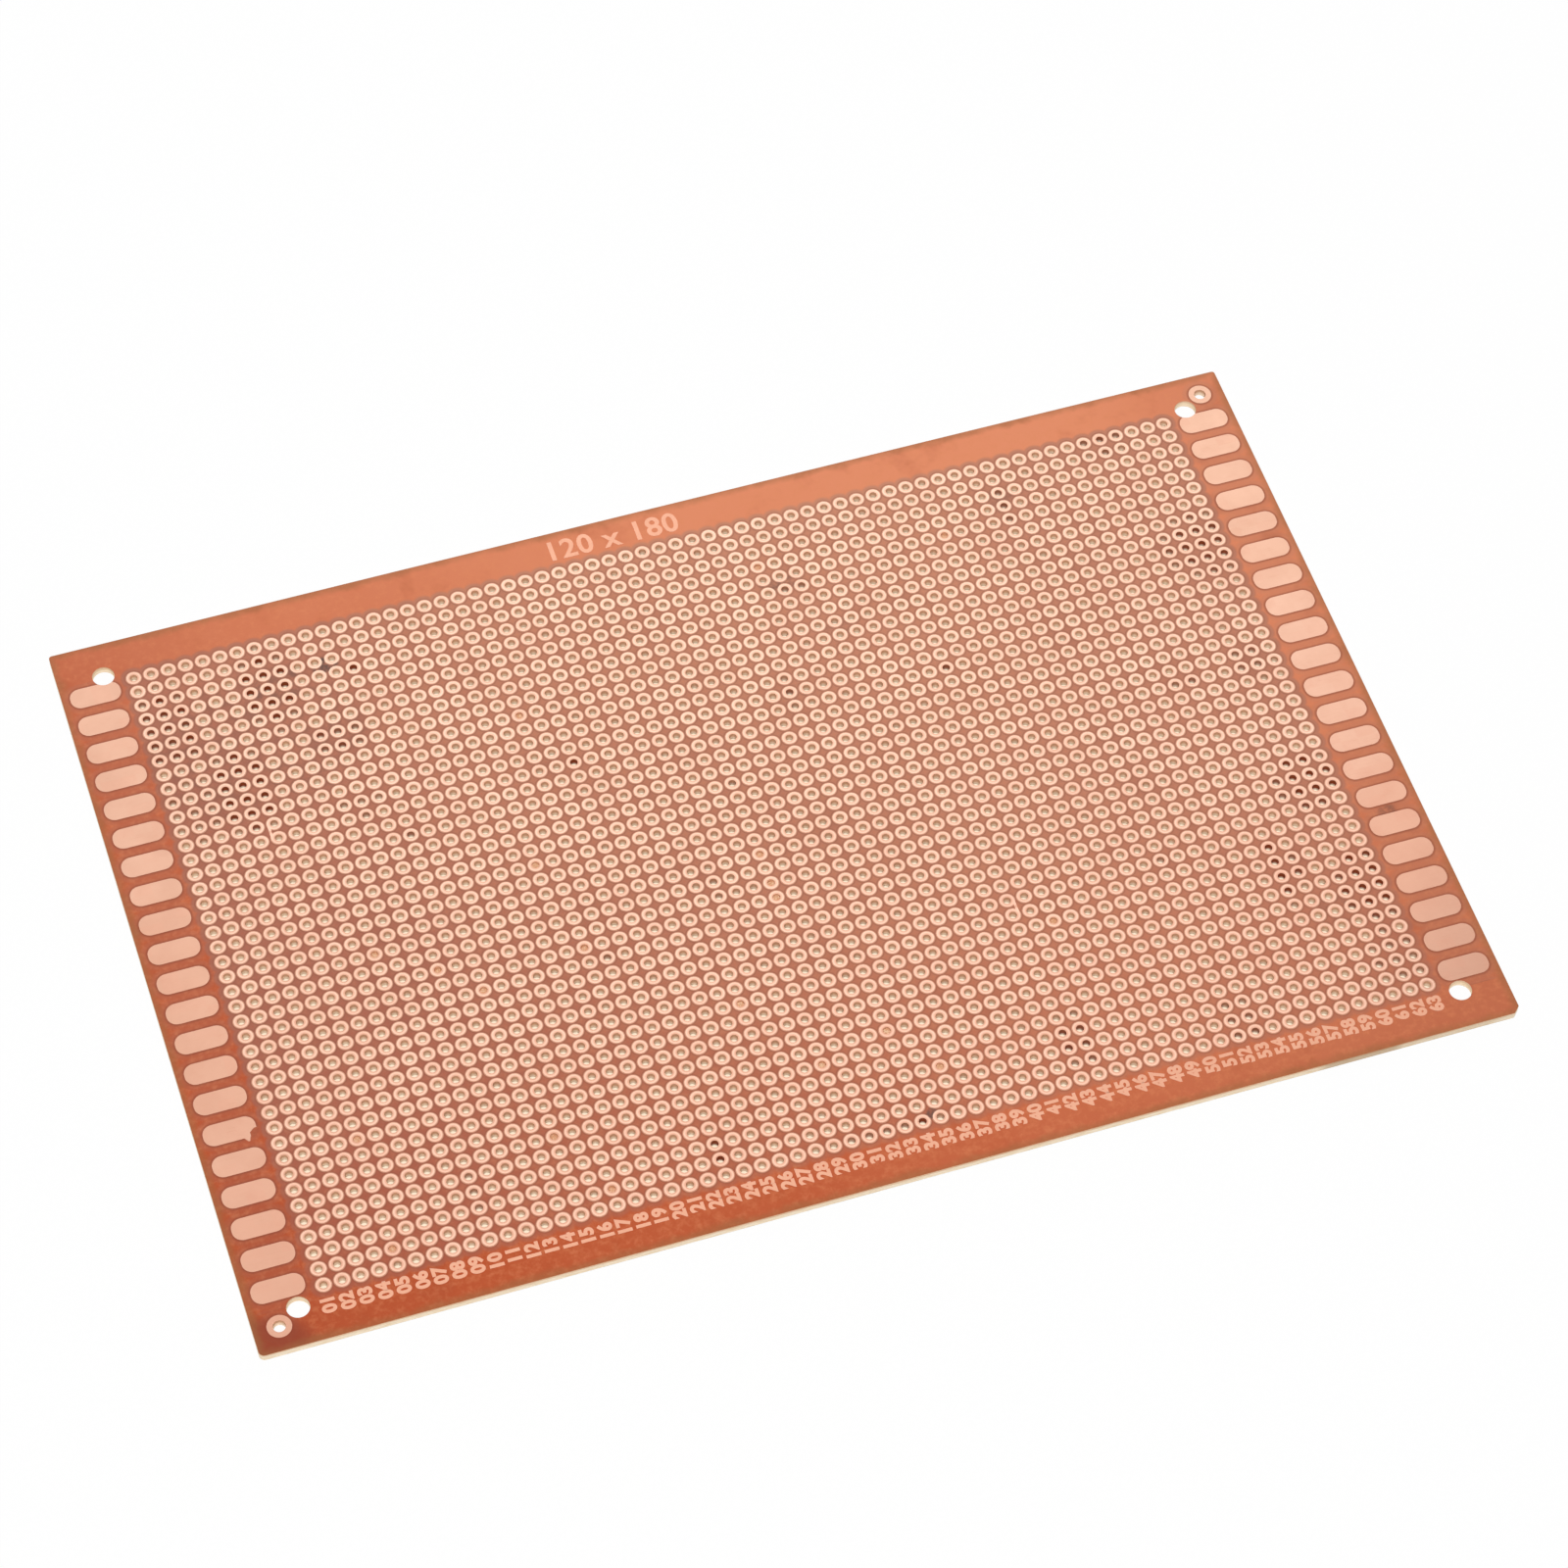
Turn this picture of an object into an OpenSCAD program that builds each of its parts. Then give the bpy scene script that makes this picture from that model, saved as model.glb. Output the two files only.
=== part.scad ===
// Single-sided prototype board: a phenolic panel drilled on a 0.1 inch grid, with a foil pad round
// every lead hole. It lies on its bare face, foil side up, with its long side along X. The origin
// is under the middle of the panel, at the height that its two ends rest on.

/* [Panel] */
// Length of the panel, along X
panel_len = 179; // [120:1:240]
// Width of the panel, along Y
panel_wid = 119.4; // [70:0.1:160]
// Thickness of the laminate
panel_thk = 1.2; // [0.8:0.1:2.4]
// Height of the middle above the ends, from the bow that the laminate has taken
bow = 0.12; // [0.04:0.01:0.5]
// Corner radius at the back, as sheared
back_corner_r = 0.45; // [0.2:0.05:1.2]
// Corner radius at the front left, where the corner is worn
front_corner_r = 0.8; // [0.2:0.05:1.2]
// Length of the chip that is broken off the front right corner
corner_chip = 0.95; // [0.2:0.05:1.2]

/* [Lead grid] */
// Distance from hole to hole, both ways
pitch = 2.54; // [2.5:0.01:3.2]
// Diameter of a lead hole
lead_hole_d = 1.1; // [0.7:0.05:1.2]
// Outer diameter of the round foil pad on a lead hole
pad_d = 2.1; // [1.6:0.05:2.2]
// Thickness of the copper foil
foil_thk = 0.035; // [0.018:0.001:0.105]
// Bare strip kept clear of the grid along each long edge, at least
long_edge_strip = 6.2; // [5.8:0.1:12]
// How far the drilling sits off the middle, towards the back edge
grid_offset = 0.3; // [0:0.05:0.4]

/* [End contacts] */
// Length of an oblong end contact
contact_len = 7.3; // [4:0.1:9]
// Width of an oblong end contact
contact_wid = 3.4; // [3.1:0.1:4]
// Corner radius of an end contact
contact_r = 1.5; // [0.4:0.1:1.5]
// Bare laminate between the contacts and the end of the panel
contact_end_gap = 1.2; // [0.6:0.1:3]
// Bare laminate between the contacts and the grid, at least
contact_grid_gap = 0.9; // [0.4:0.1:3]

/* [Corner holes] */
// Diameter of a mounting hole
mount_hole_d = 3.2; // [2.2:0.1:4.2]
// Distance from a mounting hole's centre to the end of the panel
mount_end_inset = 6.7; // [5.5:0.1:7.5]
// Distance from a mounting hole's centre to the long edge
mount_side_inset = 5.7; // [4:0.1:6.5]
// Outer diameter of a corner tie pad
tie_pad_d = 3.4; // [2.6:0.1:3.8]
// Diameter of the hole in a corner tie pad
tie_hole_d = 1.75; // [1:0.05:2.2]
// Distance from a tie pad's centre to the end of the panel
tie_end_inset = 3.6; // [2.4:0.1:3.9]
// Distance from a tie pad's centre to the long edge
tie_side_inset = 3.65; // [2.4:0.05:3.9]

/* [Etching faults] */
// Width of the foil whisker that joins two pads
whisker_wid = 0.36; // [0.1:0.02:0.6]
// Column of the pad that the left whisker starts from, counted from the left
left_whisker_column = 6; // [1:1:63]
// Row of that pad, counted from the back
left_whisker_row = 13; // [1:1:41]
// Column of the pad that the right whisker starts from
right_whisker_column = 43; // [1:1:63]
// Row of that pad
right_whisker_row = 30; // [1:1:41]
// Which left contact has its corner eaten away, counted from the back
eaten_contact = 16; // [2:1:16]
// Size of the bite in that corner
bite = 1.05; // [0.4:0.05:1.2]
// How far a nib of foil stands out beside the bite
nib = 0.6; // [0.2:0.05:0.8]

/* [Hidden] */
$fn = 24;
// Cutters run this far past the faces they cut
over = 0.5;
// Each flat of the bowed panel carries this many columns of pads
columns_per_flat = 3;
flat_wid = columns_per_flat * pitch;
end_strip = contact_end_gap + contact_len + contact_grid_gap;
flats = floor((panel_len - 2 * end_strip) / flat_wid);
rows = floor((panel_wid - 2 * long_edge_strip) / pitch);
// One end contact stands beside every two rows
rows_per_contact = 2;
contacts = floor(rows / rows_per_contact);
left_end = 0;
right_end = flats + 1;
half_len = panel_len / 2;
half_wid = panel_wid / 2;
mount_x = half_len - mount_end_inset;
mount_y = half_wid - mount_side_inset;
tie_x = half_len - tie_end_inset;
tie_y = half_wid - tie_side_inset;
contact_x = half_len - contact_end_gap - contact_len / 2;
// The bite's ragged line, in shares of its size: at the contact's end, at its knee, at the nib
bite_at_end = 1.3;
bite_at_knee = [0.35, 1.2];
bite_at_nib = 0.7;
// The nib starts this share of the bite inside the contact, and these shares of its own length
// give its tip and the far side of its root
nib_start = 0.3;
nib_tip = [0.5, 0.85];
nib_root = 2;

function strip_name(k) = str("pad_strip_", k < 10 ? "0" : "", k);

// The flats are numbered from 0, the left end of the panel, to flats + 1, its right end
function flat_start(k) =
    k == left_end ? -half_len :
    k > right_end ? half_len :
    (k - 1 - flats / 2) * flat_wid;
function flat_mid(k) = (flat_start(k) + flat_start(k + 1)) / 2;
// Height of the underside over the ends, along the bow
function rise(x) = bow * (1 - pow(x / half_len, 2));
function flat_rise(k) = (rise(flat_start(k)) + rise(flat_start(k + 1))) / 2;
function flat_tilt(k) = atan2(
    rise(flat_start(k + 1)) - rise(flat_start(k)),
    flat_start(k + 1) - flat_start(k)
);
function row_y(r) = grid_offset + ((rows + 1) / 2 - r) * pitch;
function column_x(c) = (c - (columns_per_flat + 1) / 2) * pitch;
function contact_y(i) = (row_y(rows_per_contact * i - 1) + row_y(rows_per_contact * i)) / 2;
function flat_of(column) = ceil(column / columns_per_flat);
function column_in_flat(column) = column - (flat_of(column) - 1) * columns_per_flat;

// Puts its children on the upper face of one flat, with their origin at the flat's middle
module on_flat(k) {
    translate([flat_mid(k), 0, flat_rise(k) + panel_thk])
        rotate([0, -flat_tilt(k), 0])
            children();
}

module at_grid(flat_rows, flat_columns) {
    for (r = flat_rows, c = flat_columns)
        translate([column_x(c), row_y(r), 0])
            children();
}

module drill(d, depth) {
    translate([0, 0, -depth - over])
        cylinder(d = d, h = depth + 2 * over);
}

module mounting_holes() {
    for (sx = [-1, 1], sy = [-1, 1])
        translate([sx * mount_x, sy * mount_y, bow + panel_thk])
            drill(mount_hole_d, bow + panel_thk);
}

// The two tie pads stand at the front left and the back right
module at_tie_pads() {
    for (end = [[left_end, -1], [right_end, 1]])
        on_flat(end[0])
            translate([end[1] * tie_x - flat_mid(end[0]), end[1] * tie_y, 0])
                children();
}

module panel_blank() {
    under = [for (k = [0:right_end + 1]) [flat_start(k), rise(flat_start(k))]];
    upper = [for (k = [right_end + 1:-1:0]) [flat_start(k), rise(flat_start(k)) + panel_thk]];
    translate([0, half_wid, 0])
        rotate([90, 0, 0])
            linear_extrude(panel_wid)
                polygon(concat(under, upper));
}

// What a rounded corner takes off a square one whose tip is at the origin
module corner_waste(r) {
    difference() {
        translate([-over, -over])
            square(r + over);
        translate([r, r])
            circle(r);
    }
}

module corner_cuts() {
    translate([0, 0, -over])
        linear_extrude(panel_thk + bow + 2 * over) {
            for (side = [0, 1])
                mirror([side, 0])
                    translate([-half_len, half_wid])
                        mirror([0, 1])
                            corner_waste(back_corner_r);
            translate([-half_len, -half_wid])
                corner_waste(front_corner_r);
            translate([half_len, -half_wid])
                rotate(45)
                    square([corner_chip * sqrt(2), corner_chip * sqrt(2)], center = true);
        }
}

module laminate() {
    color("#C46B49")
        difference() {
            panel_blank();
            corner_cuts();
            mounting_holes();
            at_tie_pads()
                drill(tie_hole_d, panel_thk);
            for (k = [1:flats])
                on_flat(k)
                    at_grid([1:rows], [1:columns_per_flat])
                        drill(lead_hole_d, panel_thk);
        }
}

module round_pad(d, hole_d) {
    linear_extrude(foil_thk)
        difference() {
            circle(d = d);
            circle(d = hole_d);
        }
}

// A whisker runs down one side of a pad to the next pad, flush with their rims
module whisker(side) {
    linear_extrude(foil_thk)
        difference() {
            translate([side * (pad_d - whisker_wid) / 2, -pitch / 2])
                square([whisker_wid, pitch], center = true);
            circle(d = lead_hole_d);
            translate([0, -pitch])
                circle(d = lead_hole_d);
        }
}

module whiskers_on(k) {
    for (w = [
        [left_whisker_column, left_whisker_row, -1],
        [right_whisker_column, right_whisker_row, 1]
    ])
        if (flat_of(w[0]) == k && w[1] < rows)
            translate([column_x(column_in_flat(w[0])), row_y(w[1]), 0])
                whisker(w[2]);
}

module pad_strip(k) {
    color("#F2B79B")
        on_flat(k) {
            at_grid([1:rows], [1:columns_per_flat])
                round_pad(pad_d, lead_hole_d);
            whiskers_on(k);
        }
}

module contact_outline() {
    difference() {
        square([contact_len, contact_wid], center = true);
        for (mx = [0, 1], my = [0, 1])
            mirror([mx, 0])
                mirror([0, my])
                    translate([-contact_len / 2, -contact_wid / 2])
                        corner_waste(contact_r);
    }
}

// The front right corner of this contact is etched away, and a nib of foil is left beside the bite
module eaten_contact_outline() {
    corner = [contact_len / 2, -contact_wid / 2];
    difference() {
        contact_outline();
        translate(corner)
            polygon([
                [over, bite * bite_at_end],
                [-bite * bite_at_knee[0], bite * bite_at_knee[1]],
                [-bite, bite * bite_at_nib],
                [-bite, -over],
                [over, -over]
            ]);
    }
    translate(corner + [-bite, 0])
        polygon([
            [0, bite * nib_start],
            [-nib * nib_tip[0], -nib],
            [-nib * nib_tip[1], -nib],
            [-nib * nib_root, bite * nib_start]
        ]);
}

module end_contacts(end, side) {
    color("#EDB496")
        difference() {
            on_flat(end)
                for (i = [1:contacts])
                    translate([side * contact_x - flat_mid(end), contact_y(i), 0])
                        linear_extrude(foil_thk)
                            if (end == left_end && i == eaten_contact)
                                eaten_contact_outline();
                            else
                                contact_outline();
            mounting_holes();
        }
}

module tie_pads() {
    color("#F0B598")
        difference() {
            at_tie_pads()
                round_pad(tie_pad_d, tie_hole_d);
            mounting_holes();
        }
}

laminate();
end_contacts(left_end, -1);  // end_contacts_left
end_contacts(right_end, 1);  // end_contacts_right
tie_pads();
for (k = [1:flats])
    pad_strip(k);
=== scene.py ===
# Prototype board: a phenolic panel drilled on a 0.1 inch grid, with an etched foil pad round every
# lead hole, lying copper side up on a white table.
import math
import random

import bpy
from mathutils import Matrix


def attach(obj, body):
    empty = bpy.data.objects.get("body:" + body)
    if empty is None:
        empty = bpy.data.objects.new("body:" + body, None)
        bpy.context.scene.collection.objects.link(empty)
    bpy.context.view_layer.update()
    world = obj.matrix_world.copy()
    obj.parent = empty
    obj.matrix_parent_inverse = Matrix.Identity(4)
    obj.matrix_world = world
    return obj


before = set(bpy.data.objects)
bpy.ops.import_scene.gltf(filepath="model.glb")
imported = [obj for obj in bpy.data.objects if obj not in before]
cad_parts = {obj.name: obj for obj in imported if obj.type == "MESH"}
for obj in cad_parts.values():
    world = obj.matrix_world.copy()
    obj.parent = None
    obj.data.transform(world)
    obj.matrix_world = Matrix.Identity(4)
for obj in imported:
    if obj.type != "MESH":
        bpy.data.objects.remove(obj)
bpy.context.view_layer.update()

MM = 0.001

# Drilling and foil, as in the part's source, in mm
PITCH = 2.54
COLUMNS = 63
ROWS = 42
PANEL_LEN = 179.0
PANEL_WID = 119.4
PANEL_THK = 1.2
BOW = 0.12
GRID_OFFSET = 0.3
LEAD_HOLE_D = 1.1
TIE_HOLE_D = 1.75
PAD_D = 2.1
FOIL_THK = 0.035
CONTACT_X = 84.65
CONTACT_HALF = (3.65, 1.7)
CONTACT_R = 1.5
TIE_PAD_D = 3.4
TIE_AT = (85.9, 56.05)
# The end contacts stand beside every two rows, the first of them between rows 1 and 2
FIRST_CONTACT_ROW = 1.5
# Corner of the contact that is eaten away
BITTEN_CORNER = (-81.0, -26.9, 0.0)

# A distance in mm that is past anything on the board
FAR_OFF = 100.0

# Middle of the drilled grid, counted in columns from the left and rows from the back
MIDDLE_COLUMN = (COLUMNS + 1) / 2
MIDDLE_ROW = (ROWS + 1) / 2
# Half the rows, and how far they sit off the middle, in mm
HALF_ROWS = ROWS * PITCH / 2 + GRID_OFFSET

# Holes whose walls are painted dark: painted shade where less light reaches the table seen through
# them. Column, row, columns wide, rows high and how dark from 0 to 1
SHADED_HOLES = (
    (2.0, 5.0, 2.2, 3.8, 0.8),
    (5.0, 10.4, 2.2, 3.8, 1.0),
    (2.0, 10.5, 2.2, 3.4, 0.4),
    (8.0, 4.0, 1.9, 3.6, 1.0),
    (13.0, 4.0, 0.8, 0.8, 1.0),
    (11.0, 8.4, 1.8, 1.5, 0.6),
    (10.8, 13.2, 1.9, 1.2, 0.45),
    (13.0, 16.0, 0.8, 0.8, 0.6),
    (23.0, 14.0, 0.8, 0.8, 0.9),
    (36.0, 13.0, 0.9, 1.4, 0.5),
    (38.5, 6.0, 1.4, 0.9, 0.5),
    (45.0, 14.0, 0.8, 0.8, 0.6),
    (52.0, 4.0, 0.9, 1.7, 0.6),
    (59.0, 1.2, 1.8, 1.5, 0.6),
    (62.0, 10.0, 3.0, 2.9, 0.8),
    (57.2, 19.0, 1.4, 1.0, 0.5),
    (61.5, 18.8, 1.9, 1.5, 0.55),
    (61.6, 27.4, 2.3, 2.4, 1.0),
    (58.1, 32.6, 1.3, 3.0, 0.9),
    (62.4, 35.0, 2.2, 3.0, 1.0),
    (62.0, 39.8, 1.7, 2.6, 0.5),
    (43.6, 39.6, 1.4, 2.3, 0.75),
    (52.6, 41.2, 1.8, 1.8, 0.6),
    (32.4, 42.0, 3.6, 0.9, 0.5),
    (34.0, 42.0, 0.8, 0.8, 1.0),
    (23.0, 40.6, 0.9, 1.3, 0.9),
    (28.2, 24.4, 1.2, 1.6, 0.4),
    (21.0, 27.0, 1.2, 0.9, 0.5),
    (31.0, 18.0, 0.9, 1.2, 0.4),
    (10.0, 39.0, 0.9, 1.8, 0.45),
    (52.0, 30.0, 1.0, 0.9, 0.45),
    (66.0, 0.0, 0.8, 0.8, 0.5),
)

# Dark smudges that lie on the lacquer, in the same columns and rows
SMUDGES = (
    (6.5, 7.5, 8.5, 6.5, 0.34),
    (8.6, 3.9, 2.4, 1.8, 0.5),
    (11.5, 3.4, 1.0, 0.8, 0.9),
    (4.5, 11.4, 1.8, 1.9, 0.25),
    (7.0, 5.8, 1.8, 1.3, 0.35),
    (37.9, 5.6, 1.7, 0.8, 0.6),
    (40.2, 9.4, 1.4, 0.9, 0.3),
    (51.8, 3.4, 1.5, 1.3, 0.35),
    (60.0, 36.0, 1.4, 1.4, 0.3),
    (36.6, 13.2, 1.4, 1.0, 0.2),
    (34.7, 41.7, 0.6, 0.5, 0.8),
    (65.2, 30.6, 0.9, 0.45, 0.55),
)

# Deeper red stains about the two left corners
CORNER_STAINS = (
    (-3.4, 44.8, 4.2, 2.6, 0.75),
    (0.5, 41.0, 12.0, 8.0, 0.18),
    (0.0, -1.0, 9.0, 4.0, 0.14),
)

# Foil that the scrubbing has left paler, and foil with a first red tarnish
PALE_FOIL = ((61.5, 21.0, 13.5, 11.0, 0.3), (11.0, 8.0, 11.0, 9.0, 0.22))
RED_FOIL = ((-1.0, 24.0, 15.0, 11.0, 0.26), (13.0, 38.0, 24.0, 10.0, 0.2))

# The sheared front edge is darker near its right end
DARKER_FRONT_EDGE = ((61.0, 45.1, 7.5, 0.6, 0.3), (58.0, 45.1, 3.2, 0.6, 0.5))

# Direction across the board to its front right corner, which is painted duller: painted shade
# where the light falls off there
PAINTED_SHADE_DIRECTION = (0.7, -0.7, 0.0)

# Foil numbers in mm: height, weight and spacing of the letters, and the place of their middle.
# The column numbers' middles stand a little to the left of their columns.
COLUMN_NUMBER = (2.6, 0.13, 1.0)
COLUMN_NUMBER_Y = -55.0
COLUMN_NUMBER_SHIFT = -0.15
SIZE_NUMBER = (4.8, 0.1, 1.05)
SIZE_NUMBER_AT = (-5.7, 56.4)

# Holes that drill swarf has filled: column and row, counted from the back left
SWARF_HOLES = (
    (36, 39), (30, 37), (34, 36), (15, 37), (14, 27), (12, 25), (31, 26), (9, 23), (17, 41),
    (20, 26), (5, 34), (5, 41), (45, 32), (27, 32), (48, 5), (37, 4), (19, 20), (21, 10),
    (31, 25), (31, 23),
)

# A swarf plug in mm: radius and drop of each ring from its top, how far the top is sunk below
# the laminate, how high its crown stands, how far its rings wobble, and how thick it is
PLUG_RINGS = ((0.3, 0.0), (0.46, -0.05), (0.54, -0.12), (0.54, -0.6))
PLUG_SIDES = 20
PLUG_SUNK = (0.08, 0.3)
PLUG_CROWN = 0.02
PLUG_WOBBLE = (-0.03, 0.02)
PLUG_THK = 0.62
PLUG_SEED = 7

# Camera: place in mm, turn in degrees and lens
CAMERA_AT = (-134.07, -387.21, 596.97)
CAMERA_TURN = (35.0305, -0.9294, -18.0364)
CAMERA_LENS = 118.046

# Lamps: name, place and size in metres, and power
LAMPS = (
    ("back_softbox", (0.08, 0.42, 0.36), 0.5, 0.9),
    ("high_softbox", (-0.2, -0.49, 0.9), 0.6, 6.2),
)
# Strength of the room's own light
ROOM_LIGHT = 0.38
# Share of plain white in the table as the camera sees it. The rest keeps the shadow.
TABLE_WHITE = 0.94


def linear_colour(hex_code):
    """Turns an sRGB hex colour to the linear RGBA that a socket takes."""
    colour = []
    for start in (1, 3, 5):
        share = int(hex_code[start:start + 2], 16) / 255
        colour.append(share / 12.92 if share <= 0.04045 else ((share + 0.055) / 1.055) ** 2.4)
    return (*colour, 1.0)


def add(tree, kind, inputs, output=0, **settings):
    """Adds a node with its settings, values and links, and gives one of its outputs."""
    made = tree.nodes.new("ShaderNode" + kind)
    for name, value in settings.items():
        setattr(made, name, value)
    for key, value in inputs.items():
        if isinstance(value, bpy.types.NodeSocket):
            tree.links.new(value, made.inputs[key])
        else:
            made.inputs[key].default_value = value
    return made.outputs[output]


def new_finish(name):
    """A bare material for one finish, and its tree."""
    finish = bpy.data.materials.new(name)
    finish.use_nodes = True
    finish.node_tree.nodes.clear()
    return finish, finish.node_tree


def close_finish(tree, shader):
    """Hands the finished shader to the surface."""
    output = tree.nodes.new("ShaderNodeOutputMaterial")
    tree.links.new(shader, output.inputs["Surface"])


def seen_directly(tree):
    """1 where the camera sees a surface, also in a reflection or through something clear."""
    seen = add(tree, "LightPath", {}, "Is Camera Ray")
    for ray in ("Is Glossy Ray", "Is Transmission Ray"):
        other = add(tree, "LightPath", {}, ray)
        seen = add(tree, "Math", {0: seen, 1: other}, operation="MAXIMUM")
    return seen


# Where a point lies on the board
def board_place(tree):
    """Place in mm, place counted in columns and rows, and the hole that it belongs to."""
    metres = add(tree, "TexCoord", {}, "Object")
    place = add(tree, "VectorMath", {0: metres, "Scale": 1 / MM}, operation="SCALE")
    per_mm = (1 / PITCH, -1 / PITCH, 0.0)
    middle = (MIDDLE_COLUMN, MIDDLE_ROW + GRID_OFFSET / PITCH, 0.0)
    grid_place = add(
        tree, "VectorMath", {0: place, 1: per_mm, 2: middle}, operation="MULTIPLY_ADD"
    )
    half_on = add(tree, "VectorMath", {0: grid_place, 1: (0.5, 0.5, 0.5)}, operation="ADD")
    hole = add(tree, "VectorMath", {0: half_on}, operation="FLOOR")
    return place, grid_place, hole


def past_sides(tree, place, half):
    """How far a place is past the sides of a box round the origin: vector, its X, its Y."""
    size = add(tree, "VectorMath", {0: place}, operation="ABSOLUTE")
    past = add(tree, "VectorMath", {0: size, 1: (*half, 0.0)}, operation="SUBTRACT")
    along = add(tree, "SeparateXYZ", {0: past}, "X")
    return past, along, add(tree, "SeparateXYZ", {0: past}, "Y")


def distance_from(tree, place, middle, scale):
    """Distance of a place from a middle in plan, with X and Y each taken to a scale."""
    off = add(tree, "VectorMath", {0: place, 1: middle}, operation="SUBTRACT")
    off = add(tree, "VectorMath", {0: off, 1: (*scale, 0.0)}, operation="MULTIPLY")
    return add(tree, "VectorMath", {0: off}, "Value", operation="LENGTH")


def foil_edge_distance(tree, place, grid_place, hole):
    """Distances in mm from the nearest rim of any foil, of a round pad, and of a small hole.

    Each is below zero inside its rim."""
    first_pad = add(tree, "VectorMath", {0: hole, 1: (1.0, 1.0, 0.0)}, operation="MAXIMUM")
    nearest_pad = add(
        tree, "VectorMath", {0: first_pad, 1: (COLUMNS, ROWS, 0.0)}, operation="MINIMUM"
    )
    from_hole = distance_from(tree, grid_place, nearest_pad, (PITCH, PITCH))
    pad_rim = add(tree, "Math", {0: from_hole, 1: PAD_D / 2}, operation="SUBTRACT")

    # Off the nearest contact's middle, along it and across it
    x = add(tree, "SeparateXYZ", {0: place}, "X")
    row = add(tree, "SeparateXYZ", {0: grid_place}, "Y")
    along = add(tree, "Math", {0: x}, operation="ABSOLUTE")
    along = add(tree, "Math", {0: along, 1: CONTACT_X}, operation="SUBTRACT")
    row = add(tree, "Math", {0: row, 1: FIRST_CONTACT_ROW}, operation="SUBTRACT")
    row = add(tree, "Math", {0: row, 1: 1.0, 2: -1.0}, operation="WRAP")
    across = add(tree, "Math", {0: row, 1: PITCH}, operation="MULTIPLY")
    _, _, past_rows = past_sides(tree, place, (0.0, HALF_ROWS))
    off_rows = add(tree, "Math", {0: past_rows, 1: 0.0}, operation="GREATER_THAN")
    across = add(tree, "Math", {0: off_rows, 1: FAR_OFF, 2: across}, operation="MULTIPLY_ADD")
    in_contact = add(tree, "CombineXYZ", {"X": along, "Y": across})
    straight = (CONTACT_HALF[0] - CONTACT_R, CONTACT_HALF[1] - CONTACT_R)
    past, _, _ = past_sides(tree, in_contact, straight)
    past = add(tree, "VectorMath", {0: past, 1: (0.0, 0.0, 0.0)}, operation="MAXIMUM")
    contact_rim = add(tree, "VectorMath", {0: past}, "Value", operation="LENGTH")
    contact_rim = add(tree, "Math", {0: contact_rim, 1: CONTACT_R}, operation="SUBTRACT")
    nearest = add(tree, "Math", {0: pad_rim, 1: contact_rim}, operation="MINIMUM")

    hole_rim = add(tree, "Math", {0: from_hole, 1: LEAD_HOLE_D / 2}, operation="SUBTRACT")
    for side in (-1, 1):
        from_tie = distance_from(tree, place, (side * TIE_AT[0], side * TIE_AT[1], 0.0), (1, 1))
        tie_rim = add(tree, "Math", {0: from_tie, 1: TIE_PAD_D / 2}, operation="SUBTRACT")
        nearest = add(tree, "Math", {0: nearest, 1: tie_rim}, operation="MINIMUM")
        tie_hole_rim = add(tree, "Math", {0: from_tie, 1: TIE_HOLE_D / 2}, operation="SUBTRACT")
        hole_rim = add(tree, "Math", {0: hole_rim, 1: tie_hole_rim}, operation="MINIMUM")
    return nearest, pad_rim, hole_rim


# How a coat is shared out over a surface
def coat_share(tree, place, what, start, full, depth=1.0):
    """Share of a coat, from none at start to its depth at full.

    What it goes by is a measure, or the size in mm of the cloudy patches that it lies in."""
    if not isinstance(what, bpy.types.NodeSocket):
        what = add(
            tree, "TexNoise",
            {"Vector": place, "Scale": 1 / what, "Detail": 3.0, "Roughness": 0.6},
        )
    return add(
        tree, "MapRange", {0: what, 1: start, 2: full, 4: depth},
        interpolation_type="SMOOTHSTEP",
    )


def stains(tree, grid_place, spots):
    """Share of a stain laid in spots, each fading from its middle to its rim."""
    share = None
    for column, row, wide, high, depth in spots:
        off = distance_from(tree, grid_place, (column, row, 0.0), (1 / wide, 1 / high))
        spot = coat_share(tree, grid_place, off, 1.0, 0.55, depth)
        if share is None:
            share = spot
        else:
            share = add(tree, "Math", {0: share, 1: spot}, operation="MAXIMUM")
    return share


def coated(tree, place, ground, coats):
    """Colour of a ground with coats over it.

    Each coat is what it goes by, its start, full and depth, and its sRGB hex colour."""
    for what, start, full, depth, colour in coats:
        share = coat_share(tree, place, what, start, full, depth)
        ground = add(
            tree, "Mix", {0: share, 6: ground, 7: linear_colour(colour)}, 2, data_type="RGBA"
        )
    return ground


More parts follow.
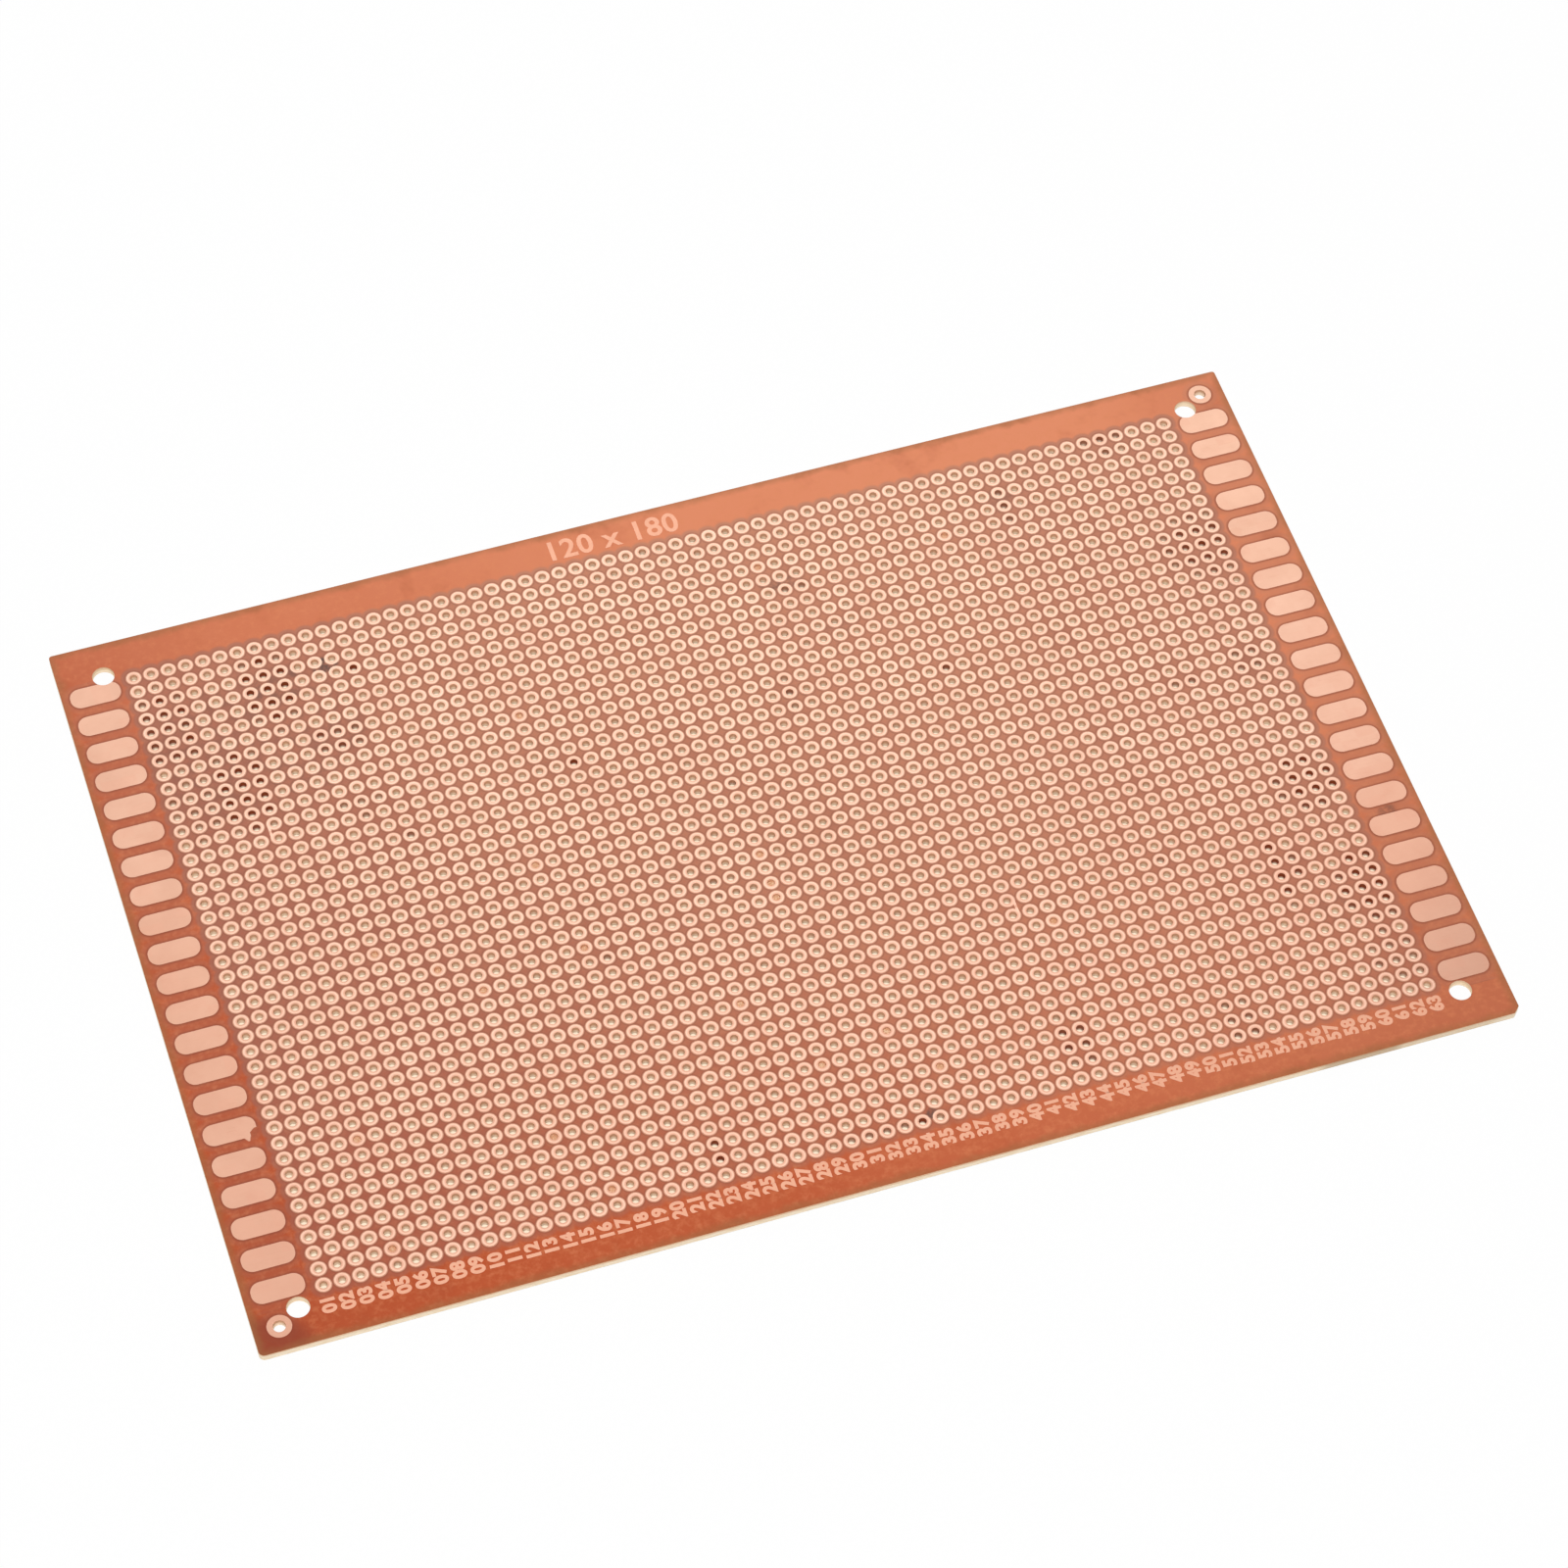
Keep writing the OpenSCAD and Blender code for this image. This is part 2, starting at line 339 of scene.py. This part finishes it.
# Finishes
def pressed_phenolic_laminate():
    """Phenolic paper laminate, pressed against the foil, etched, lacquered, drilled and sheared.

    The face keeps the red-brown adhesive of the foil under a thin lacquer, so it is warm and a
    little veiled, with painted light and shade across it. The core, seen in the edges and holes,
    is plain tan paper in layers, with painted shade and painted light in the holes."""
    finish, tree = new_finish("pressed_phenolic_laminate")
    place, grid_place, hole = board_place(tree)
    edge_distance, pad_rim, hole_rim = foil_edge_distance(tree, place, grid_place, hole)
    # Where a contact's corner is eaten away the laminate lies as open as between the foil
    from_bite = distance_from(tree, place, BITTEN_CORNER, (1, 1))
    bitten = coat_share(tree, place, from_bite, 1.6, 1.4, 0.3)
    edge_distance = add(tree, "Math", {0: edge_distance, 1: bitten}, operation="MAXIMUM")
    height = add(tree, "SeparateXYZ", {0: place}, "Z")
    facing = add(tree, "SeparateXYZ", {0: add(tree, "TexCoord", {}, "Normal")}, "Z")
    upper_face = coat_share(tree, place, facing, 0.3, 0.7)
    under_face = coat_share(tree, place, facing, -0.3, -0.7)

    # The face is deeper and redder at the front left and paler towards the back right: partly the
    # adhesive's own tone, partly painted light where the back lamp's veil lies on the lacquer
    across = add(
        tree, "VectorMath", {0: place, 1: (0.0064, 0.0074, 0.0)}, "Value",
        operation="DOT_PRODUCT",
    )
    cloud = coat_share(tree, place, 38.0, 0.0, 1.0, 0.34)
    across = add(tree, "Math", {0: across, 1: cloud}, operation="ADD")

    # Shearing has bruised the lacquer along the outline, where the tan core shines through
    _, past_end, past_side = past_sides(tree, place, (PANEL_LEN / 2, PANEL_WID / 2))
    to_outline = add(tree, "Math", {0: past_end, 1: past_side}, operation="MAXIMUM")
    ragged = coat_share(tree, place, 3.0, 0.0, 1.0, 1.2)
    to_outline = add(tree, "Math", {0: to_outline, 1: ragged}, operation="ADD")

    painted_shade_front_right = add(
        tree, "VectorMath", {0: place, 1: PAINTED_SHADE_DIRECTION}, "Value", operation="DOT_PRODUCT"
    )

    # Dust from the drill greys the lanes between the pads, less towards the front, and lies
    # redder towards both ends
    forward = add(tree, "SeparateXYZ", {0: place}, "Y")
    dust = add(
        tree, "Math",
        {
            0: coat_share(tree, place, pad_rim, 1.1, 0.5),
            1: coat_share(tree, place, forward, -115.0, 0.0, 0.36),
        },
        operation="MULTIPLY",
    )
    dust_at_ends = add(
        tree, "Math", {0: dust, 1: coat_share(tree, place, past_end, -60.0, -20.0)},
        operation="MULTIPLY",
    )

    # Smudges are broken up by the paper's tooth
    tooth = coat_share(tree, place, 1.6, 0.25, 0.7)
    smudge = add(
        tree, "Math", {0: stains(tree, grid_place, SMUDGES), 1: tooth}, operation="MULTIPLY"
    )
    face = coated(tree, place, linear_colour("#B64C1D"), (
        # Paler towards the back right: the adhesive's tone, with painted light over it
        (across, -0.7, 0.92, 1.0, "#E1885F"),
        # Both ends of the panel are deeper again
        (past_end, -24.0, -3.0, 0.22, "#A8431F"),
        # Painted shade: darker towards the front right, where the light falls off
        (painted_shade_front_right, 48.0, 98.0, 0.22, "#7C3018"),
        # Paper fibres of a few tenths of a mm, drawn at 0.9 mm so that they show
        (0.9, 0.4, 0.8, 0.4, "#DC8556"),
        (6.0, 0.5, 0.8, 0.35, "#A0441F"),
        (dust, 0.0, 1.0, 1.0, "#84766A"),
        (dust_at_ends, 0.0, 0.25, 0.17, "#98463A"),
        (edge_distance, 1.2, 0.6, 0.12, "#84766A"),
        # A thin darker line is painted against the foil's rim: painted shade at the step up to the
        # foil
        (edge_distance, 0.46, 0.1, 0.55, "#84422C"),
        # Etching leaves the pads a thin feathered skirt, drawn at 0.1 mm so that it shows
        (pad_rim, 0.22, 0.04, 0.7, "#E2AC8E"),
        (smudge, 0.0, 1.0, 1.0, "#4A3A34"),
        (stains(tree, grid_place, CORNER_STAINS), 0.0, 1.0, 1.0, "#8A3416"),
        (to_outline, -0.9, 0.75, 0.6, "#966034"),
    ))

    # Core: paper layers about 0.12 mm thick, seen in the sheared edges and the hole walls
    along_layers = add(
        tree, "VectorMath", {0: place, 1: (0.35, 0.35, 8.0)}, operation="MULTIPLY"
    )
    layers = coat_share(tree, along_layers, 1.0, 0.3, 0.7)
    in_hole = coat_share(tree, place, hole_rim, 0.1, 0.03)
    # The drill has dragged the adhesive down each hole, and the darker top of the walls is also
    # painted shade under the rim. The pale foot is torn paper, and also painted light bounced up
    # from the white table.
    adhesive_and_painted_shade = add(
        tree, "Math", {0: coat_share(tree, place, height, 0.32, 1.0), 1: in_hole},
        operation="MULTIPLY",
    )
    # Painted shade: listed holes, and a few at random, are darker on the upper wall
    dice = add(tree, "TexWhiteNoise", {"Vector": hole}, noise_dimensions="3D")
    painted_hole_shade = add(
        tree, "Math",
        {0: stains(tree, hole, SHADED_HOLES), 1: coat_share(tree, place, dice, 0.6, 1.0, 0.2)},
        operation="ADD",
    )
    hole_shade_wall = add(
        tree, "Math", {0: coat_share(tree, place, height, 0.1, 0.6), 1: in_hole},
        operation="MULTIPLY",
    )
    painted_hole_shade = add(tree, "Math", {0: painted_hole_shade, 1: hole_shade_wall}, operation="MULTIPLY", use_clamp=True)
    core = coated(tree, place, linear_colour("#EFD6B2"), (
        (layers, 0.0, 1.0, 1.0, "#FFF2DC"),
        # Hole walls are pale paper, and also painted light bounced up from the white table
        (in_hole, 0.0, 1.0, 1.0, "#FFEED6"),
        # Painted shade: the core is darker towards the top, under the hole rims
        (height, 0.7, 1.3, 0.7, "#CF9468"),
        # Adhesive dragged down the holes, with painted shade under the rim
        (adhesive_and_painted_shade, 0.0, 1.0, 0.85, "#E0AE88"),
        # Painted shade in the darker holes
        (painted_hole_shade, 0.0, 1.0, 1.0, "#A04C26"),
        # The sheared front edge is darker near its right end
        (stains(tree, grid_place, DARKER_FRONT_EDGE), 0.0, 1.0, 1.0, "#9A7448"),
    ))
    bare = coated(tree, place, linear_colour("#A9774A"), ((2.2, 0.3, 0.72, 1.0, "#C69A68"),))
    colour = add(tree, "Mix", {0: upper_face, 6: core, 7: face}, 2, data_type="RGBA")
    colour = add(tree, "Mix", {0: under_face, 6: colour, 7: bare}, 2, data_type="RGBA")

    gloss = add(
        tree, "MapRange", {0: upper_face, 3: 0.75, 4: 0.42}, interpolation_type="LINEAR"
    )
    uneven = coat_share(tree, place, 6.0, 0.2, 0.8, 0.1)
    gloss = add(tree, "Math", {0: uneven, 1: gloss}, operation="ADD")
    fibre = coat_share(tree, place, 0.9, 0.4, 0.8)
    relief = add(tree, "Math", {0: fibre, 1: layers}, operation="ADD")
    bump = add(tree, "Bump", {"Strength": 0.22, "Distance": 0.02 * MM, "Height": relief})
    close_finish(tree, add(
        tree, "BsdfPrincipled",
        {
            "Base Color": colour, "Roughness": gloss, "IOR": 1.5,
            "Specular IOR Level": 0.3, "Normal": bump,
        },
    ))
    return finish


def etched_copper_foil():
    """Copper foil, scrubbed with a fine pad, etched and dipped in clear flux lacquer.

    It is pale pink metal with a soft sheen, faint scrub lines and a little brown tarnish. A
    highlight is painted along the round pads' rims, and painted shade darkens it towards the
    front, the left and the front right."""
    finish, tree = new_finish("etched_copper_foil")
    place, grid_place, hole = board_place(tree)
    edge_distance, pad_rim, _ = foil_edge_distance(tree, place, grid_place, hole)
    # A highlight is painted along the round pads' rims, where they would catch the light; the flat
    # contacts' rims get none
    on_pad = add(tree, "Math", {0: pad_rim, 1: 0.3}, operation="LESS_THAN")
    painted_rim_highlight = add(
        tree, "Math", {0: coat_share(tree, place, pad_rim, -0.45, -0.12), 1: on_pad},
        operation="MULTIPLY",
    )
    dice = add(tree, "TexWhiteNoise", {"Vector": hole}, noise_dimensions="3D")
    forward = add(
        tree, "VectorMath", {0: place, 1: (0.0022, -0.0085, 0.0)}, "Value",
        operation="DOT_PRODUCT",
    )
    # Scrub lines are a few hundredths of a mm wide, drawn at 0.15 mm so that they show
    along_scrub = add(
        tree, "VectorMath", {0: place, 1: (0.35, 6.5, 1.0)}, operation="MULTIPLY"
    )
    scrub = coat_share(tree, along_scrub, 1.0, 0.55, 0.8)
    painted_shade_front_right = add(
        tree, "VectorMath", {0: place, 1: PAINTED_SHADE_DIRECTION}, "Value", operation="DOT_PRODUCT"
    )
    painted_shade_to_left = add(tree, "SeparateXYZ", {0: place}, "X")
    _, _, past_rows = past_sides(tree, place, (0.0, HALF_ROWS))
    in_number = add(tree, "Math", {0: edge_distance, 1: past_rows}, operation="MINIMUM")
    metal = coated(tree, place, linear_colour("#D4AC95"), (
        # Painted shade: the foil is darker towards the front and towards the left, where the light
        # falls off
        (forward, -0.45, 0.65, 1.0, "#CF9F88"),
        (painted_shade_to_left, 10.0, -90.0, 0.42, "#BC8F7A"),
        # Painted shade: darker towards the front right, where the light falls off
        (painted_shade_front_right, 78.0, 98.0, 0.22, "#80685C"),
        (stains(tree, grid_place, PALE_FOIL), 0.0, 1.0, 1.0, "#E0BCA8"),
        (stains(tree, grid_place, RED_FOIL), 0.0, 1.0, 1.0, "#C08A70"),
        (2.6, 0.5, 0.85, 0.15, "#BE8468"),
        # Painted highlight along the round pads' rims
        (painted_rim_highlight, 0.0, 1.0, 0.36, "#FFDAC4"),
        (dice, 0.5, 1.0, 0.12, "#CE917A"),
        (scrub, 0.0, 1.0, 0.16, "#B27A5C"),
        # The numbers' narrow lines are etched thinner, and duller
        (in_number, 0.1, 0.2, 1.0, "#D09C82"),
    ))
    cloud = coat_share(tree, place, 5.0, 0.25, 0.75)
    sheen = add(tree, "MapRange", {0: cloud, 3: 0.52, 4: 0.62})
    bump = add(tree, "Bump", {"Strength": 0.25, "Distance": 0.008 * MM, "Height": scrub})
    close_finish(tree, add(
        tree, "BsdfPrincipled",
        {"Base Color": metal, "Metallic": 1.0, "Roughness": sheen, "Normal": bump},
    ))
    return finish


def packed_drill_swarf():
    """Resin and paper dust, packed into a hole by the drill: matt, crumbly orange-brown."""
    finish, tree = new_finish("packed_drill_swarf")
    place, _, _ = board_place(tree)
    crumbs = coat_share(tree, place, 0.25, 0.35, 0.7)
    dust = coated(tree, place, linear_colour("#DDA27A"), ((crumbs, 0.0, 1.0, 1.0, "#F2C9A4"),))
    bump = add(tree, "Bump", {"Strength": 0.6, "Distance": 0.05 * MM, "Height": crumbs})
    close_finish(tree, add(
        tree, "BsdfPrincipled",
        {"Base Color": dust, "Roughness": 0.9, "IOR": 1.45, "Normal": bump},
    ))
    return finish


def matt_white_sheet():
    """White paper on the table: the camera sees it white, with the board's shadow left in it.

    Under the drilled grid a warm tint is painted on the paper: painted light that the board's
    brown throws on it."""
    finish, tree = new_finish("matt_white_sheet")
    place, _, _ = board_place(tree)
    _, past_columns, past_rows = past_sides(tree, place, (COLUMNS * PITCH / 2, ROWS * PITCH / 2))
    past_grid = add(tree, "Math", {0: past_columns, 1: past_rows}, operation="MAXIMUM")
    seen = add(
        tree, "Math", {0: seen_directly(tree), 1: TABLE_WHITE}, operation="MULTIPLY"
    )
    paper = coated(tree, place, linear_colour("#F6F6F6"), ((0.8, 0.3, 0.7, 1.0, "#FFFFFF"),))
    matt = add(tree, "BsdfDiffuse", {"Color": paper})
    # Painted light: a warm glow on the paper under the drilled grid
    painted_warm_bounce = coated(
        tree, place, linear_colour("#FFFFFF"), ((past_grid, 0.5, -0.5, 1.0, "#FFECD0"),)
    )
    white = add(tree, "Emission", {"Color": painted_warm_bounce, "Strength": 1.0})
    close_finish(tree, add(tree, "MixShader", {0: seen, 1: matt, 2: white}))
    return finish


# Pieces
def top_of_panel(x_mm):
    """Height of the laminate's upper face at a place along the board, in mm."""
    return PANEL_THK + BOW * (1 - (x_mm / (PANEL_LEN / 2)) ** 2)


def as_piece(name, vertices, faces, finish):
    """One piece from vertices in metres and faces, with its finish."""
    mesh = bpy.data.meshes.new(name)
    mesh.from_pydata(vertices, [], faces)
    mesh.update()
    mesh.materials.append(finish)
    piece = bpy.data.objects.new(name, mesh)
    bpy.context.scene.collection.objects.link(piece)
    return piece


def foil_number(words, height, weight, spacing):
    """Vertices in mm and faces of a foil number, from the built-in plain font."""
    curve = bpy.data.curves.new("number", "FONT")
    curve.body = words
    curve.size = height
    curve.resolution_u = 4
    curve.offset = weight
    curve.space_character = spacing
    curve.extrude = FOIL_THK / 2
    drawn = bpy.data.objects.new("number", curve)
    bpy.context.scene.collection.objects.link(drawn)
    mesh = drawn.to_mesh()
    points = [tuple(vertex.co) for vertex in mesh.vertices]
    faces = [tuple(face.vertices) for face in mesh.polygons]
    drawn.to_mesh_clear()
    bpy.data.objects.remove(drawn)
    middle = [
        (min(point[axis] for point in points) + max(point[axis] for point in points)) / 2
        for axis in (0, 1)
    ]
    return [(x - middle[0], y - middle[1], z) for x, y, z in points], faces


def foil_numbers(name, numbers, finish):
    """Numbers on the upper face: words, height, weight, spacing, place in mm and turn."""
    vertices, faces = [], []
    for words, height, weight, spacing, (x, y), turn in numbers:
        points, corners = foil_number(words, height, weight, spacing)
        cos_turn, sin_turn = math.cos(turn), math.sin(turn)
        faces += [tuple(len(vertices) + i for i in corner) for corner in corners]
        for px, py, pz in points:
            at_x = x + px * cos_turn - py * sin_turn
            at_y = y + px * sin_turn + py * cos_turn
            at_z = top_of_panel(at_x) + FOIL_THK / 2 + pz
            vertices.append((at_x * MM, at_y * MM, at_z * MM))
    return as_piece(name, vertices, faces, finish)


def column_numbers(finish):
    """Foil numbers 01 to 63 along the front edge, one at each column, read from the right."""
    numbers = []
    for column in range(1, COLUMNS + 1):
        at = ((column - MIDDLE_COLUMN) * PITCH + COLUMN_NUMBER_SHIFT, COLUMN_NUMBER_Y)
        numbers.append((f"{column:02d}", *COLUMN_NUMBER, at, math.pi / 2))
    return foil_numbers("column_numbers", numbers, finish)


def size_numbers(finish):
    """Foil numbers at the back edge that give the board's width and length."""
    number = ("120 x 180", *SIZE_NUMBER, SIZE_NUMBER_AT, 0.0)
    return foil_numbers("size_numbers", [number], finish)


def swarf_plugs(finish):
    """Crumbly plugs, a little below the foil, in the holes that the swarf has filled."""
    dice = random.Random(PLUG_SEED)
    last_ring = len(PLUG_RINGS) - 1
    vertices, faces = [], []
    for column, row in SWARF_HOLES:
        x = (column - MIDDLE_COLUMN) * PITCH
        y = GRID_OFFSET + (MIDDLE_ROW - row) * PITCH
        top = top_of_panel(x) - dice.uniform(*PLUG_SUNK)
        first = len(vertices)
        vertices.append((x * MM, y * MM, (top + PLUG_CROWN) * MM))
        for ring, (radius, drop) in enumerate(PLUG_RINGS):
            for side in range(PLUG_SIDES):
                angle = 2 * math.pi * side / PLUG_SIDES
                wobble = dice.uniform(*PLUG_WOBBLE) if ring < last_ring else 0.0
                vertices.append((
                    (x + radius * math.cos(angle)) * MM,
                    (y + radius * math.sin(angle)) * MM,
                    (top + drop + wobble) * MM,
                ))
        last = len(vertices)
        vertices.append((x * MM, y * MM, (top - PLUG_THK) * MM))
        for side in range(PLUG_SIDES):
            after = (side + 1) % PLUG_SIDES
            faces.append((first, first + 1 + side, first + 1 + after))
            for ring in range(last_ring):
                upper = first + 1 + ring * PLUG_SIDES
                lower = upper + PLUG_SIDES
                faces.append((upper + side, lower + side, lower + after, upper + after))
            faces.append((last, last - PLUG_SIDES + after, last - PLUG_SIDES + side))
    return as_piece("swarf_plugs", vertices, faces, finish)


def dress_board():
    """Gives the panel and the foil their finishes, and adds the numbers and the swarf."""
    foil = etched_copper_foil()
    finishes = {"laminate": pressed_phenolic_laminate()}
    for name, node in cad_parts.items():
        finish = finishes.get(name, foil)
        if node.data.materials:
            node.data.materials[0] = finish
        else:
            node.data.materials.append(finish)
    for piece, slot in (
        (column_numbers(foil), "copper_foil"),
        (size_numbers(foil), "copper_foil"),
        (swarf_plugs(packed_drill_swarf()), "phenolic_laminate"),
    ):
        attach(piece, "root")


# Studio
def white_table():
    """Wide white table just under the board."""
    half = 3.0
    low = -0.02 * MM
    corners = [(-half, -half, low), (half, -half, low), (half, half, low), (-half, half, low)]
    table = as_piece("white_table", corners, [(0, 1, 2, 3)], matt_white_sheet())


def soft_lamps():
    """A softbox behind the board, and one high above the camera that reaches into the holes."""
    for name, place, size, power in LAMPS:
        lamp = bpy.data.lights.new(name, "AREA")
        lamp.shape = "SQUARE"
        lamp.size = size
        lamp.energy = power
        stand = bpy.data.objects.new(name, lamp)
        stand.location = place
        stand.rotation_euler = (-stand.location).to_track_quat("-Z", "Y").to_euler()
        bpy.context.scene.collection.objects.link(stand)


def pale_room():
    """Even pale light from all round, and pure white where the camera or the foil sees it."""
    world = bpy.data.worlds.new("pale_room")
    world.use_nodes = True
    tree = world.node_tree
    tree.nodes.clear()
    room = add(tree, "Background", {"Color": (1.0, 0.985, 0.97, 1.0), "Strength": ROOM_LIGHT})
    white = add(tree, "Background", {"Color": (1.0, 1.0, 1.0, 1.0), "Strength": 1.0})
    mixed = add(tree, "MixShader", {0: seen_directly(tree), 1: room, 2: white})
    output = tree.nodes.new("ShaderNodeOutputWorld")
    tree.links.new(mixed, output.inputs["Surface"])
    bpy.context.scene.world = world


def camera():
    """Stands where the photograph was taken from: left of the middle, 55 degrees above."""
    lens = bpy.data.cameras.new("camera")
    lens.sensor_width = 36.0
    lens.lens = CAMERA_LENS
    lens.clip_end = 20.0
    stand = bpy.data.objects.new("camera", lens)
    stand.location = [at * MM for at in CAMERA_AT]
    stand.rotation_euler = [math.radians(turn) for turn in CAMERA_TURN]
    bpy.context.scene.collection.objects.link(stand)
    bpy.context.scene.camera = stand


camera()
white_table()
soft_lamps()
pale_room()
dress_board()
bpy.context.scene.view_settings.view_transform = "Standard"
